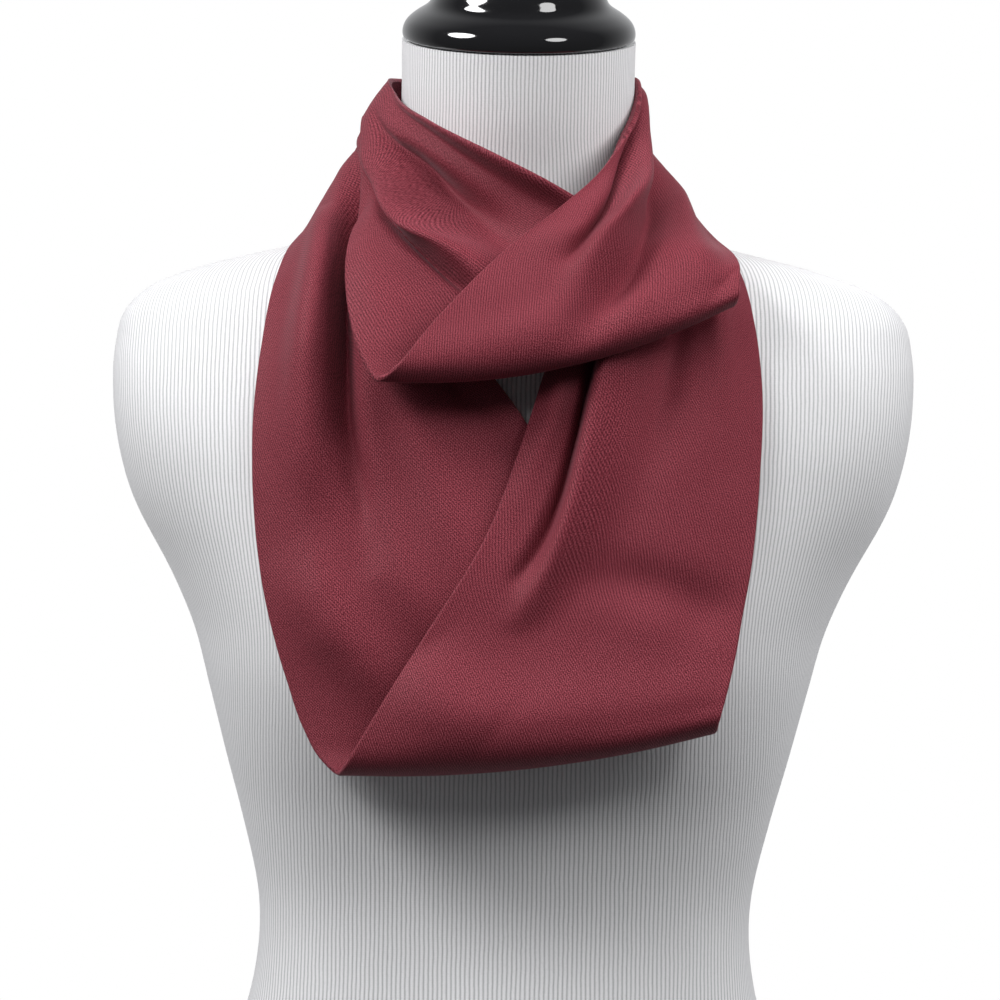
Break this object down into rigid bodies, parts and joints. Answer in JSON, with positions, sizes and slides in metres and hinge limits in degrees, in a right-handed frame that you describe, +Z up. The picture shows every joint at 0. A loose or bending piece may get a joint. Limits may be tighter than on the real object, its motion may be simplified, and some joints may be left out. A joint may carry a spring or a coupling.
{
  "type": "infinity scarf on a dress form",
  "caption": "Wide loop of plain twill cloth wound twice round the neck of a limbless, jersey-covered dress form, one turn high at the throat and one low on the chest.",
  "frame": {"origin": "middle of the base board's underside, where the dress form stands", "axes": "+Z up along the form, -Y towards the front of the chest, +X towards the right of a front view"},
  "size_m": [0.4, 0.2499, 0.6936],
  "materials": {
    "maroon_twill": "soft matt twill with a faint sheen",
    "white_jersey": "matt fine-ribbed jersey",
    "gloss_black": "polished black",
    "matt_black": "matt black"
  },
  "bodies": {
    "root": {"scarf_lower_left": "maroon_twill", "scarf_lower_right": "maroon_twill", "scarf_upper_left": "maroon_twill", "scarf_upper_right": "maroon_twill", "torso": "white_jersey", "neck_cap": "gloss_black", "base_board": "matt_black"}
  },
  "joints": []
}
